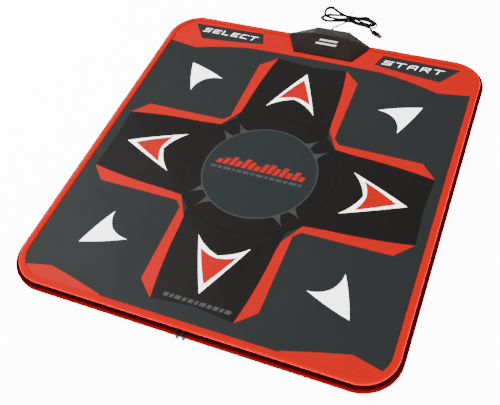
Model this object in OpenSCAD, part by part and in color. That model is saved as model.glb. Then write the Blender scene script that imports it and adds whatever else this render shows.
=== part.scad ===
// Padded dance mat: a zipped soft mat with ten spring-back step zones,
// layered contact films inside, and a control box with a tied lead.
// Millimetres. +Z up, +Y towards the control box, floor at Z = 0.
// The origin is under the middle of the mat and its box, without the lead.

/* [Mat] */
// Width of the mat, side to side
mat_w = 860; // [700:5:1060]
// Length of the mat, zip edge to box edge
mat_l = 940; // [790:5:1160]
// Outside radius of the mat's corners
corner_r = 85; // [50:1:115]
// Height of the mat at its top binding
mat_t = 25; // [22:0.5:34]
// Height of the binding above the printed cover
rim_stand = 2.5; // [1:0.1:4]
// Width of the top binding
rim_w = 14; // [10:0.5:20]
// How far the side band stands out past the binding
band_bulge = 10; // [9:0.1:11]
// Thickness of the side band
band_t = 1.2; // [0.8:0.1:2]

/* [Layers] */
// Thickness of the non-slip base sheet
base_t = 1.2; // [0.8:0.1:2]
// Thickness of each printed contact film
film_t = 0.3; // [0.2:0.05:0.4]
// Thickness of the sponge spacer between the films
spacer_t = 3.5; // [3.4:0.1:5]
// Thickness of the printed cover
cover_t = 1.2; // [0.8:0.1:2]
// Gap between one foam insert and the next
foam_gap = 2; // [1:0.5:8]
// Space kept between the layers and the side band
layer_inset = 12; // [11.5:0.5:18]

/* [Step zones] */
// How far the arrow field's middle lies in front of the mat's middle
field_back = 32; // [20:1:40]
// Distance from the field's middle to the outer end of an arrow panel
panel_reach = 385; // [370:1:390]
// Distance from the field's middle to the inner end of an arrow panel
panel_start = 152; // [146:1:165]
// Half width of an arrow panel at its inner end
panel_wide = 116; // [100:1:120]
// Half width of an arrow panel at its outer end
panel_narrow = 92; // [70:1:98]
// Distance from the field's middle to the inner edges of a corner panel
corner_start = 136; // [132:1:150]
// Clearance round a moving panel
panel_gap = 0.8; // [0.5:0.1:1.5]
// How high a panel's middle stands above the cover
panel_crown = 3.0; // [3:0.1:4]
// Travel of a pressed panel
press_travel = 2.8; // [1.5:0.1:2.8]

/* [Zip] */
// Half length of the zip chain
zip_half = 345; // [280:5:345]
// Height of the chain's middle above the floor
zip_z = 17; // [16.5:0.1:18]
// Height of the opening in the side band for the chain
zip_window = 8.4; // [8:0.1:9]
// Height of one row of teeth
tooth_h = 1.8; // [1.4:0.1:2]
// Gap between the two rows of teeth
tooth_gap = 1.2; // [1.2:0.1:1.6]
// Depth of the teeth, front to back
tooth_d = 2.2; // [1.8:0.1:2.6]
// Distance of each slider from the middle of the zip when closed
slider_home = 7; // [6:0.5:20]
// Length of a slider along the zip
slider_l = 9; // [7:0.5:11]
// Length of a pull tab
pull_l = 9; // [7:0.5:9]
// Diameter of the metal bead on a pull
bead_d = 7; // [5:0.1:7.4]

/* [Control box] */
// Offset of the box from the mat's middle
box_off = 14; // [-20:1:20]
// Half width of the box's front edge
box_front = 79; // [70:1:90]
// Half width of the box at its side corners
box_side = 113; // [100:1:125]
// Half width of the box's rear edge
box_rear = 43; // [40:1:60]
// How far the front edge lies inside the mat's rear edge
box_in = 79; // [75:1:95]
// How far the rear wall stands behind the mat
box_out = 28; // [27:1:45]
// Height of the ridge above the cover
box_h = 22; // [20:0.5:32]
// Wall thickness of the box
box_wall = 2; // [1.6:0.1:2.4]
// Shank radius of the box's screws
screw_r = 1.4; // [1.2:0.1:1.6]

/* [Lead] */
// Diameter of the lead
cord_d = 4.2; // [3:0.1:5]
// Length of the strain relief outside the box
relief_l = 24; // [20:1:30]

/* [Hidden] */
$fn = 48;
eps = 0.01;

// heights of the layers, from the floor up
cover_top = mat_t - rim_stand;
cover_z = cover_top - cover_t;
upper_film_z = cover_z - film_t;
spacer_z = upper_film_z - spacer_t;
lower_film_z = spacer_z - film_t;
foam_top = lower_film_z;
contact_z = upper_film_z - film_t;

// the beads on the pull tabs hang this far in front of the side band
bead_off = 4.3;
pull_stand = bead_off + bead_d / 2;
// the mat's middle, so that the whole part is centred on the origin
mat_y = (pull_stand - box_out) / 2;
front_y = mat_y - mat_l / 2;
back_y = mat_y + mat_l / 2;
field_y = mat_y - field_back;

// inner edge of the binding, where the print starts
print_half_w = mat_w / 2 - band_bulge - rim_w;
print_back = back_y - band_bulge - rim_w;
print_front = front_y + band_bulge + rim_w;

// the opening for the control box in the layers
notch_half = 80;
notch_y = back_y - box_in - 2;
slot_y = back_y - 60;
slot_w = 32;
slot_d = 2;
tail_w = 30;
tail_t = 0.4;

// edges of the header strip and of the two front wedges: at the middle of the mat,
// at their kink, and where they meet the binding
vee_x = 328;
header_front = print_back - 72;
header_vee = print_back - 110;
header_edge = print_back - 97;
wedge_vee = print_front + 33;
wedge_edge = print_front + 20;
plate_back = print_back - 10;
plate_front = print_back - 50;
plate_front_outer = print_back - 69;

// ---- outlines -------------------------------------------------------

// A plate of the mat's outline, with arcs at its corners.
module mat_plate(inset, z, t) {
  r = corner_r - inset;
  w = mat_w - 2 * inset;
  l = mat_l - 2 * inset;
  translate([0, mat_y, z]) union() {
    translate([-w / 2 + r, -l / 2, 0]) cube([w - 2 * r, l, t]);
    translate([-w / 2, -l / 2 + r, 0]) cube([w, l - 2 * r, t]);
    for (sx = [-1, 1], sy = [-1, 1])
      translate([sx * (w / 2 - r), sy * (l / 2 - r), 0]) cylinder(r = r, h = t, $fn = 96);
  }
}

// Sweeps a profile (x outward from the outline, y up) round the mat.
module around_mat() {
  w = mat_w / 2 - corner_r;
  l = mat_l / 2 - corner_r;
  translate([0, mat_y, 0]) union() {
    for (q = [[w, l, 0], [-w, l, 90], [-w, -l, 180], [w, -l, 270]])
      translate([q[0], q[1], 0]) rotate([0, 0, q[2]])
        rotate_extrude(angle = 90, $fn = 96) translate([corner_r, 0]) children();
    for (s = [[w, l, l, 0], [l, w, w, 90], [w, l, l, 180], [l, w, w, 270]])
      rotate([0, 0, s[3]]) translate([s[0] + corner_r, s[1], 0])
        rotate([90, 0, 0]) linear_extrude(2 * s[2]) children();
  }
}

// First-quadrant outline of an arrow panel that points along +Y, about the field's middle.
function arrow_panel(g) = [
  [-panel_wide + g, panel_start + g], [panel_wide - g, panel_start + g],
  [panel_narrow - g, panel_reach - g], [-panel_narrow + g, panel_reach - g]
];

// A corner panel in the +X +Y quadrant: a square with a chamfer towards the field's
// middle. Its far edge keeps clear of the header or the wedge, whose heights are given.
function corner_panel(g, middle, vee, edge) = [
  [corner_start + 16 + g, corner_start + g], [print_half_w - 14 - g, corner_start + g],
  [print_half_w - 14 - g, edge - g], [vee_x, vee - g],
  [vee_x - 130, middle - 5 - g], [corner_start + g, middle - g],
  [corner_start + g, corner_start + 16 + g]
];

// The header's printed plate on the +X side.
function header_plate(g) = [
  [153 + g, plate_front + g], [326 - g, plate_front_outer + g + 1],
  [366 - 2 * g, plate_back - g], [168 + g, plate_back - g]
];

module zone_outline(name, g = 0) {
  clear = 9;
  back = [header_front, header_vee, header_edge];
  back_v = [for (y = back) y - field_y - clear];
  front = [print_front, wedge_vee, wedge_edge];
  front_v = [for (y = front) field_y - y - clear];
  if (name == "up") translate([0, field_y]) polygon(arrow_panel(g));
  if (name == "down") translate([0, field_y]) rotate(180) polygon(arrow_panel(g));
  if (name == "left") translate([0, field_y]) rotate(90) polygon(arrow_panel(g));
  if (name == "right") translate([0, field_y]) rotate(-90) polygon(arrow_panel(g));
  if (name == "up_right") translate([0, field_y])
    polygon(corner_panel(g, back_v[0], back_v[1], back_v[2]));
  if (name == "up_left") translate([0, field_y]) mirror([1, 0])
    polygon(corner_panel(g, back_v[0], back_v[1], back_v[2]));
  if (name == "down_right") translate([0, field_y]) mirror([0, 1])
    polygon(corner_panel(g, front_v[0], front_v[1], front_v[2]));
  if (name == "down_left") translate([0, field_y]) rotate(180)
    polygon(corner_panel(g, front_v[0], front_v[1], front_v[2]));
  if (name == "start") polygon(header_plate(g));
  if (name == "select") mirror([1, 0]) polygon(header_plate(g));
}

ZONES = ["up", "down", "left", "right", "up_left", "up_right", "down_left", "down_right",
         "select", "start"];

module zone_windows(z, t) {
  for (name = ZONES)
    translate([0, 0, z - 1]) linear_extrude(t + 2) zone_outline(name);
}

module box_notch(z, t) {
  translate([box_off - notch_half, notch_y, z - 1]) cube([2 * notch_half, 200, t + 2]);
}

// ---- soft mat -------------------------------------------------------

module base_sheet() {
  color([0.09, 0.09, 0.1]) mat_plate(1.5, 0, base_t);
}

module side_band() {
  color([0.55, 0.03, 0.03]) difference() {
    around_mat() polygon([
      [-1.5, base_t], [0, 7], [0, 12.5], [-band_bulge + 0.6, mat_t - 4.5],
      [-band_bulge - band_t, mat_t - 4.5], [-band_t, 12], [-band_t, 7], [-1.5 - band_t, base_t]
    ]);
    translate([-zip_half - 6, front_y - 1, zip_z - zip_window / 2])
      cube([2 * zip_half + 12, 20, zip_window]);
  }
}

module rim_binding() {
  color([0.95, 0.06, 0.04]) around_mat() polygon([
    [-band_bulge - rim_w, cover_top], [-band_bulge - 0.9, cover_top],
    [-band_bulge - 0.9, mat_t - 4.5], [-band_bulge + 0.6, mat_t - 4.5],
    [-band_bulge + 1.2, mat_t - 3],
    [-band_bulge - 0.5, mat_t - 0.8], [-band_bulge - 3.5, mat_t],
    [-band_bulge - rim_w + 4, mat_t], [-band_bulge - rim_w + 0.5, mat_t - 1]
  ]);
}

module foam_insert(sx, sy) {
  w = mat_w / 2 - layer_inset;
  l = mat_l / 2 - layer_inset;
  r = corner_r - layer_inset;
  color([0.78, 0.78, 0.76]) translate([0, mat_y, base_t]) mirror([sx < 0 ? 1 : 0, 0, 0])
    mirror([0, sy < 0 ? 1 : 0, 0]) union() {
      translate([foam_gap / 2, foam_gap / 2, 0])
        cube([w - r - foam_gap / 2, l - foam_gap / 2, foam_top - base_t]);
      translate([foam_gap / 2, foam_gap / 2, 0])
        cube([w - foam_gap / 2, l - r - foam_gap / 2, foam_top - base_t]);
      translate([w - r, l - r, 0]) cylinder(r = r, h = foam_top - base_t, $fn = 96);
    }
}

module lower_film() {
  color([0.75, 0.78, 0.74]) difference() {
    mat_plate(layer_inset + 6, lower_film_z, film_t);
    box_notch(lower_film_z, film_t);
  }
}

module spacer_sponge() {
  color([0.9, 0.88, 0.8]) difference() {
    mat_plate(layer_inset + 3, spacer_z, spacer_t);
    box_notch(spacer_z, spacer_t);
    zone_windows(spacer_z, spacer_t);
  }
}

module upper_film() {
  color([0.75, 0.78, 0.74]) difference() {
    mat_plate(layer_inset + 3, upper_film_z, film_t);
    box_notch(upper_film_z, film_t);
    zone_windows(upper_film_z, film_t);
  }
}

module film_tail() {
  color([0.7, 0.72, 0.66]) union() {
    translate([box_off - tail_w / 2, notch_y, lower_film_z])
      cube([tail_w, slot_y - notch_y + tail_t / 2, film_t]);
    translate([box_off - tail_w / 2, slot_y - tail_t / 2, lower_film_z])
      cube([tail_w, tail_t, board_z - 1 - lower_film_z]);
  }
}

module top_cover() {
  color([0.2, 0.21, 0.21]) difference() {
    mat_plate(band_bulge + 1, cover_z, cover_t);
    zone_windows(cover_z, cover_t);
    translate([box_off - slot_w / 2, slot_y - slot_d / 2, cover_z - 1])
      cube([slot_w, slot_d, cover_t + 2]);
    for (sx = [-1, 1])
      translate([box_off + sx * front_screw_x, front_screw_y, cover_z - 1])
        cylinder(r = screw_r + 0.3, h = cover_t + 2, $fn = 32);
  }
}

// ---- step zones -----------------------------------------------------

module zone_panel(name, tint) {
  color(tint) union() {
    translate([0, 0, upper_film_z]) linear_extrude(cover_top + panel_crown / 2 - upper_film_z)
      zone_outline(name, panel_gap);
  }
}

module zone_contact(name) {
  color([0.2, 0.2, 0.2]) translate([0, 0, contact_z]) linear_extrude(film_t)
    zone_outline(name, panel_gap + 1);
}

// ---- zip ------------------------------------------------------------

tooth_y = front_y + band_bulge - 2.5;
slider_h = 6;
slider_y = tooth_y - 0.35 - 2.2;

module tooth_row(z) {
  color([0.05, 0.05, 0.05])
    translate([-zip_half, tooth_y, z]) cube([2 * zip_half, tooth_d, tooth_h]);
}

tape_y = tooth_y + 1.5;
tape_t = 0.6;

module zip_tape_lower() {
  z = zip_z - 6;
  color([0.12, 0.02, 0.02]) union() {
    translate([-zip_half - 5, tape_y, z])
      cube([2 * zip_half + 10, tape_t, 6 - tooth_gap / 2 - tooth_h]);
    translate([-zip_half - 5, front_y + band_t + 0.1, z])
      cube([2 * zip_half + 10, tape_y + tape_t - front_y - band_t - 0.1, tape_t]);
  }
}

module zip_tape_upper() {
  z = zip_z + tooth_gap / 2 + tooth_h;
  color([0.12, 0.02, 0.02]) translate([-zip_half - 5, tape_y, z])
    cube([2 * zip_half + 10, tape_t, mat_t - 4.5 - z]);
}

module zip_end_stops() {
  color([0.7, 0.7, 0.72]) for (sx = [-1, 1])
    translate([sx * (zip_half + 2) - 1.5, tooth_y - 0.2, zip_z - 3.4])
      cube([3, tooth_d + 0.4, 6.8]);
}

module zip_slider(sx) {
  color([0.08, 0.08, 0.08]) translate([sx * slider_home, 0, zip_z]) union() {
    translate([-slider_l / 2, slider_y, -slider_h / 2]) cube([slider_l, 2.2, slider_h]);
    translate([-slider_l / 4, slider_y, -0.3]) cube([slider_l / 2, tooth_d + 3.6, 0.6]);
    translate([-slider_l / 2, tooth_y + tooth_d + 0.35, -slider_h / 2])
      cube([slider_l, 1, slider_h]);
    // the two ears that carry the pull
    for (e = [-1, 1]) difference() {
      translate([e * 2.4 - 0.6, slider_y - 1.7, 0.2]) cube([1.2, 1.7 + eps, 2.6]);
      translate([e * 2.4 - 1, pull_axis_y, pull_axis_z - zip_z]) rotate([0, 90, 0])
        cylinder(r = pin_r + 0.09, h = 2, $fn = 32);
    }
  }
}

pull_axis_y = slider_y - 0.8;
drop_y = pull_axis_y - front_y + bead_off;
pull_axis_z = zip_z + 1.6;
pin_r = 0.5;

module zip_pull(sx) {
  color([0.03, 0.03, 0.03]) translate([sx * slider_home, pull_axis_y, pull_axis_z]) union() {
    rotate([0, 90, 0]) cylinder(r = pin_r, h = 6, center = true, $fn = 32);
    translate([-1.2, -drop_y - 0.6, -pull_l]) cube([2.4, 1.2, pull_l - 0.5]);
    translate([-1.2, -drop_y - 0.6, -1.1]) cube([2.4, drop_y + 0.6, 1.4]);
  }
}

module zip_bead(sx) {
  color([0.85, 0.85, 0.87])
    translate([sx * slider_home, front_y - bead_off, pull_axis_z - pull_l - bead_d / 2])
      sphere(d = bead_d, $fn = 24);
}

// ---- control box ----------------------------------------------------

edge_h = 3;
break_in = 66;
break_h = 10;
ridge_in = 18;
ridge_half = 45;
side_in = 14;
rear_h = 6;
leg_gap = 2;
plate_t = 2.4;
leg_z = 0.5;
rim_clear = 0.4;
board_z = cover_top + plate_t + 3.6;
board_t = 1.6;
front_screw_x = 58;
front_screw_y = back_y - 37;
rear_screw_x = 28;
rear_screw_y = back_y + 17;
relief_x = 2;
relief_z = 10;
relief_r = 3.2;

// The closed outer form of the shell, t inside its surface.
module box_form(t) {
  z0 = cover_top;
  hull() {
    for (sx = [-1, 1]) {
      for (z = [z0 - (t > 0 ? 1 : 0), z0 + edge_h - t]) {
        translate([sx * (box_front - 1.2 * t), back_y - box_in + t, z]) cube(eps);
        translate([sx * (box_side - 1.5 * t), back_y - side_in, z]) cube(eps);
      }
      translate([sx * (box_rear - t), back_y + box_out - t - eps, z0 - (t > 0 ? 1 : 0)]) cube(eps);
      translate([sx * (box_rear - t), back_y + box_out - t - eps, z0 + rear_h - t]) cube(eps);
      translate([sx * (box_front - 5 - t), back_y - break_in, z0 + break_h - t]) cube(eps);
      translate([sx * (ridge_half - t), back_y - ridge_in, z0 + box_h - t]) cube(eps);
    }
  }
}

// Room for the binding where it passes under the box.
module rim_channel() {
  translate([-mat_w, back_y - band_bulge - rim_w - rim_clear, -1])
    cube([2 * mat_w, band_bulge + rim_w + rim_clear + leg_gap, mat_t + rim_clear + 1]);
}

module leg_outline(t) {
  run = (box_side - box_rear) / (side_in + box_out);
  top = box_side - run * (side_in + leg_gap);
  polygon([
    [-top + 1.5 * t, back_y + leg_gap + t], [top - 1.5 * t, back_y + leg_gap + t],
    [box_rear - 0.7 * t, back_y + box_out - t], [-box_rear + 0.7 * t, back_y + box_out - t]
  ]);
}

module box_base() {
  color([0.12, 0.11, 0.1]) difference() {
    translate([box_off, 0, 0]) union() {
      // plate on the cover, with a bridge over the binding
      intersection() {
        union() {
          translate([-box_side, back_y - box_in, cover_top])
            cube([2 * box_side, box_in - band_bulge - rim_w - rim_clear, plate_t]);
          translate([-box_side, back_y - band_bulge - rim_w - rim_clear - plate_t,
                     mat_t + rim_clear])
            cube([2 * box_side, band_bulge + rim_w + rim_clear + 2 * plate_t + leg_gap, plate_t]);
          for (y = [-band_bulge - rim_w - rim_clear - plate_t, leg_gap])
            translate([-box_side, back_y + y, cover_top])
              cube([2 * box_side, plate_t, mat_t - cover_top + rim_clear + plate_t]);
        }
        box_form(box_wall + 0.2);
      }
      // leg behind the mat
      difference() {
        translate([0, 0, leg_z]) linear_extrude(cover_top - leg_z) leg_outline(0);
        translate([0, 0, leg_z + box_wall]) linear_extrude(60) leg_outline(box_wall);
      }
      // floor of the leg under the rear screws
      for (sx = [-1, 1])
        translate([sx * rear_screw_x, rear_screw_y, leg_z])
          cylinder(r = 4.2, h = 4, $fn = 32);
    }
    for (sx = [-1, 1]) {
      translate([box_off + sx * front_screw_x, front_screw_y, cover_top - 1])
        cylinder(r = screw_r + 0.3, h = 10, $fn = 32);
      translate([box_off + sx * rear_screw_x, rear_screw_y, leg_z - 1])
        cylinder(r = screw_r + 0.3, h = 10, $fn = 32);
      translate([box_off + sx * rear_screw_x, rear_screw_y, leg_z - 1])
        cylinder(r = 3.2, h = 2.6, $fn = 32);
    }
    translate([box_off - slot_w / 2, slot_y - slot_d / 2, cover_top - 1])
      cube([slot_w, slot_d, plate_t + 2]);
    translate([relief_x, back_y + box_out + 1, relief_z]) rotate([90, 0, 0])
      cylinder(r = relief_r, h = box_wall + 2, $fn = 32);
  }
}

module box_shell() {
  color([0.12, 0.11, 0.1]) difference() {
    translate([box_off, 0, 0]) union() {
      difference() {
        box_form(0);
        box_form(box_wall);
        rim_channel();
      }
      intersection() {
        for (sx = [-1, 1]) {
          translate([sx * front_screw_x, front_screw_y, cover_top + plate_t])
            cylinder(r = 3.4, h = 40, $fn = 32);
          translate([sx * rear_screw_x, rear_screw_y, leg_z + 4])
            cylinder(r = 3.4, h = 40, $fn = 32);
        }
        union() {
          box_form(box_wall / 2);
          translate([-box_rear, back_y + leg_gap, 0]) cube([2 * box_rear, box_out - leg_gap - 3, cover_top]);
        }
      }
    }
    for (sx = [-1, 1]) {
      translate([box_off + sx * front_screw_x, front_screw_y, cover_top])
        cylinder(r = screw_r - 0.28, h = 8, $fn = 32);
      translate([box_off + sx * rear_screw_x, rear_screw_y, leg_z + 3])
        cylinder(r = screw_r - 0.28, h = 12, $fn = 32);
    }
  }
}

module clamp_plate() {
  color([0.5, 0.5, 0.52]) difference() {
    translate([box_off - front_screw_x - 8, notch_y + 6, cover_z - 1.6])
      cube([2 * front_screw_x + 16, front_screw_y - notch_y + 2, 1.6]);
    translate([box_off - slot_w / 2, slot_y - slot_d / 2, cover_z - 3])
      cube([slot_w, slot_d, 4]);
    for (sx = [-1, 1])
      translate([box_off + sx * front_screw_x, front_screw_y, cover_z - 3])
        cylinder(r = screw_r + 0.3, h = 4, $fn = 32);
  }
}

// A pan-head screw that points up, with its head's top face at z = 0.
module screw_up(shank) {
  union() {
    translate([0, 0, -1.6]) cylinder(r = 2.6, h = 1.6, $fn = 32);
    translate([0, 0, -eps]) cylinder(r = screw_r - 0.3, h = shank, $fn = 32);
  }
}

module box_screws() {
  color([0.8, 0.8, 0.82]) for (sx = [-1, 1]) {
    translate([box_off + sx * front_screw_x, front_screw_y, cover_z - 1.6]) screw_up(9);
    translate([box_off + sx * rear_screw_x, rear_screw_y, leg_z + 1.6]) screw_up(12);
  }
}

module circuit_board() {
  color([0.05, 0.3, 0.16]) union() {
    translate([box_off - 32, back_y - 56, board_z]) cube([64, 36, board_t]);
    for (sx = [-1, 1])
      translate([box_off + sx * 27, back_y - 52, cover_top + plate_t])
        cylinder(r = 2.5, h = board_z - cover_top - plate_t, $fn = 24);
    for (sx = [-1, 1])
      translate([box_off + sx * 27, back_y - 23.6, mat_t + rim_clear + plate_t])
        cylinder(r = 2.5, h = board_z - mat_t - rim_clear - plate_t, $fn = 24);
  }
}

module controller_chip() {
  color([0.03, 0.03, 0.03]) translate([box_off - 7, back_y - 43, board_z + board_t])
    cube([14, 9, 1.6]);
}

module tail_connector() {
  color([0.9, 0.88, 0.8]) translate([box_off - 17, back_y - 63, board_z - 1])
    cube([34, 7, 3.4]);
}

module lead_connector() {
  color([0.9, 0.88, 0.8]) translate([relief_x - 5, back_y - 25, board_z + board_t])
    cube([10, 5, 4]);
}

module strain_relief() {
  color([0.03, 0.03, 0.03]) translate([relief_x, back_y + box_out, relief_z])
    rotate([-90, 0, 0]) union() {
      translate([0, 0, -box_wall]) cylinder(r = relief_r, h = box_wall + eps, $fn = 32);
      translate([0, 0, -box_wall - 2]) cylinder(r = 4.4, h = 2 + eps, $fn = 32);
      cylinder(r1 = 4.2, r2 = cord_d / 2 + 0.8, h = relief_l, $fn = 32);
    }
}

// ---- lead -----------------------------------------------------------

// Hand-chosen route of the lead's loose stretch, from the strain relief to the hank.
CORD_ROUTE = [
  [2, 512, 10], [2.1, 515.5, 9.6], [2.5, 519.5, 8.0], [3.2, 523.5, 5.9], [4.6, 527.5, 4.1],
  [6.8, 532, 3.0], [9.6, 536.5, 2.5], [13, 541, 2.3], [17, 545, 2.3], [21.5, 549, 2.6]
];
// Route of the short stretch from the hank to the plug.
PLUG_ROUTE = [[100, 546, 4.2], [102.2, 542.6, 4.2], [104.5, 539.4, 4.2], [107, 536.5, 4.2]];
// Route inside the box, from the strain relief to the board.
INNER_ROUTE = [
  [relief_x, back_y + box_out - box_wall - 2, relief_z],
  [relief_x, back_y + box_out - 8.5, relief_z + 3],
  [relief_x, back_y + 13, board_z - 8.5], [relief_x, back_y + 9, board_z - 1.5],
  [relief_x, back_y + 3, board_z + 3], [relief_x, back_y - 7, board_z + 3.9],
  [relief_x, back_y - 20, board_z + 3.7]
];

function unit(v) = v / norm(v);
function tangent(p, i) = unit(p[min(i + 1, len(p) - 1)] - p[max(i - 1, 0)]);
function side_of(t) = unit(cross(t, [0, 0, 1]));
function ring(p, i, r, n) = let (t = tangent(p, i), s = side_of(t), u = cross(s, t))
  [for (k = [0:n - 1]) p[i] + r * (cos(360 * k / n) * s + sin(360 * k / n) * u)];
module tube(path, r, n = 8) {
  rings = len(path);
  polyhedron(
    points = [for (i = [0:rings - 1]) each ring(path, i, r, n)],
    faces = concat(
      [[for (k = [0:n - 1]) k]],
      [for (i = [0:rings - 2], k = [0:n - 1])
        [i * n + k, (i + 1) * n + k, (i + 1) * n + (k + 1) % n, i * n + (k + 1) % n]],
      [[for (k = [n - 1:-1:0]) (rings - 1) * n + k]]
    )
  );
}

hank_x = 34;
hank_y = 568;
hank_l = 162;
hank_w = 50;
hank_h = 13;
hank_turn = -6;

module usb_cord() {
  color([0.03, 0.03, 0.03]) {
    tube(CORD_ROUTE, cord_d / 2);
    tube(PLUG_ROUTE, cord_d / 2);
  }
}

module inner_lead() {
  color([0.03, 0.03, 0.03]) tube(INNER_ROUTE, cord_d / 2 - 0.2);
}

module cord_hank() {
  color([0.03, 0.03, 0.03]) translate([hank_x, hank_y, 0]) rotate([0, 0, hank_turn])
    linear_extrude(hank_h) union() {
      square([hank_l - hank_w, hank_w], center = true);
      for (sx = [-1, 1]) translate([sx * (hank_l - hank_w) / 2, 0]) circle(d = hank_w);
    }
}

module hank_tie() {
  color([0.9, 0.9, 0.9]) translate([hank_x, hank_y, hank_h + 1.2]) rotate([0, 0, hank_turn])
    cube([4, 20, 2.4], center = true);
}

plug_at = [107, 536.5, 4.2];
plug_turn = -32;

module usb_plug_body() {
  color([0.04, 0.04, 0.04]) translate(plug_at) rotate([0, 0, plug_turn]) union() {
    rotate([0, 90, 0]) cylinder(r1 = cord_d / 2 + 0.6, r2 = 3.4, h = 9, $fn = 24);
    translate([9 - eps, -8, -4]) cube([26, 16, 8]);
  }
}

module usb_plug_shell() {
  color([0.75, 0.76, 0.78]) translate(plug_at) rotate([0, 0, plug_turn])
    difference() {
      translate([35, -6, -2.25]) cube([12, 12, 4.5]);
      translate([36, -5.7, -0.1]) cube([12, 11.4, 2.05]);
    }
}

base_sheet();
side_band();
rim_binding();
foam_insert(-1, -1);  // foam_front_left
foam_insert(1, -1);  // foam_front_right
foam_insert(-1, 1);  // foam_back_left
foam_insert(1, 1);  // foam_back_right
lower_film();
spacer_sponge();
upper_film();
film_tail();
top_cover();
zone_panel("up", [0.14, 0.13, 0.12]);  // panel_up
zone_panel("down", [0.14, 0.13, 0.12]);  // panel_down
zone_panel("left", [0.14, 0.13, 0.12]);  // panel_left
zone_panel("right", [0.14, 0.13, 0.12]);  // panel_right
zone_panel("up_left", [0.22, 0.23, 0.23]);  // panel_up_left
zone_panel("up_right", [0.22, 0.23, 0.23]);  // panel_up_right
zone_panel("down_left", [0.22, 0.23, 0.23]);  // panel_down_left
zone_panel("down_right", [0.22, 0.23, 0.23]);  // panel_down_right
zone_panel("select", [0.22, 0.23, 0.23]);  // panel_select
zone_panel("start", [0.22, 0.23, 0.23]);  // panel_start
zone_contact("up");  // contact_up
zone_contact("down");  // contact_down
zone_contact("left");  // contact_left
zone_contact("right");  // contact_right
zone_contact("up_left");  // contact_up_left
zone_contact("up_right");  // contact_up_right
zone_contact("down_left");  // contact_down_left
zone_contact("down_right");  // contact_down_right
zone_contact("select");  // contact_select
zone_contact("start");  // contact_start
zip_tape_lower();
zip_tape_upper();
tooth_row(zip_z - tooth_gap / 2 - tooth_h);  // zip_teeth_lower
tooth_row(zip_z + tooth_gap / 2);  // zip_teeth_upper
zip_end_stops();
zip_slider(-1);  // zip_slider_left
zip_slider(1);  // zip_slider_right
zip_pull(-1);  // zip_pull_left
zip_pull(1);  // zip_pull_right
zip_bead(-1);  // zip_bead_left
zip_bead(1);  // zip_bead_right
box_base();
box_shell();
clamp_plate();
box_screws();
circuit_board();
controller_chip();
tail_connector();
lead_connector();
inner_lead();
strain_relief();
usb_cord();
cord_hank();
hank_tie();
usb_plug_body();
usb_plug_shell();
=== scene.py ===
import math
from itertools import cycle

import bmesh
import bpy
import numpy as np
from mathutils import Matrix, Vector
from mathutils.geometry import delaunay_2d_cdt


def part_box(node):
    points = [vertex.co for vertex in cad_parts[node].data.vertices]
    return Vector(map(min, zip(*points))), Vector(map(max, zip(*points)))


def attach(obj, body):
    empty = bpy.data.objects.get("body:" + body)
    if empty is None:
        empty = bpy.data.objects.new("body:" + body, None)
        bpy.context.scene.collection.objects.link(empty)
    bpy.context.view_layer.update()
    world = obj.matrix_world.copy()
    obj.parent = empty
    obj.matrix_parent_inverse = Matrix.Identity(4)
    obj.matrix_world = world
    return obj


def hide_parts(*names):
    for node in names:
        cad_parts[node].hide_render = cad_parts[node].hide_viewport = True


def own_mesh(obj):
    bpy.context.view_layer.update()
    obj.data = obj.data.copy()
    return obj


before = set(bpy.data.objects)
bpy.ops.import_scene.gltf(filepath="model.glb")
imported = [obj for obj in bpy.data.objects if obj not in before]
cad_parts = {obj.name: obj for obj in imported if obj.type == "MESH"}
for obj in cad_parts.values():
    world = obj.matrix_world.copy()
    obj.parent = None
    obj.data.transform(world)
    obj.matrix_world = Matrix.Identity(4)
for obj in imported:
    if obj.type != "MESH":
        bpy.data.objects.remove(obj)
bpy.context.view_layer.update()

MM = 0.001
UP = Vector((0, 0, 1))


# ---- camera ----------------------------------------------------------------

def place_camera():
    """A camera held high in front of the mat, a little to its right, and tilted."""
    eye = Vector((0.4853, -1.0320, 1.2843))
    aim = Vector((0.0136, -0.1345, 0.025))
    tilt = -0.139
    back = (eye - aim).normalized()
    level = UP.cross(back).normalized()
    rise = back.cross(level)
    right = math.cos(tilt) * level + math.sin(tilt) * rise
    top = -math.sin(tilt) * level + math.cos(tilt) * rise
    lens = bpy.data.cameras.new("camera")
    lens.sensor_width = 36.0
    lens.lens = 52.2
    lens.clip_start = 0.01
    lens.clip_end = 50
    camera = bpy.data.objects.new("camera", lens)
    bpy.context.collection.objects.link(camera)
    camera.matrix_world = Matrix((
        (right.x, top.x, back.x, eye.x),
        (right.y, top.y, back.y, eye.y),
        (right.z, top.z, back.z, eye.z),
        (0, 0, 0, 1)))
    bpy.context.scene.camera = camera


place_camera()


# ---- sizes taken from the frame ----------------------------------------------

def corners(node):
    low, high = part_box(node)
    return Vector(low), Vector(high)


band_low, band_high = corners("side_band")
MAT_X = band_high.x
MAT_MIN_Y, MAT_MAX_Y = band_low.y, band_high.y
MAT_Y = (MAT_MIN_Y + MAT_MAX_Y) / 2
MAT_L = MAT_MAX_Y - MAT_MIN_Y
COVER_Z = corners("top_cover")[1].z
CORNER = 85 * MM
RIM_IN = 24 * MM          # how far the binding's inner edge lies inside the outline
FIELD_Y = MAT_Y - 32 * MM    # the middle of the arrow field


# ---- finishes ----------------------------------------------------------------

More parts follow.
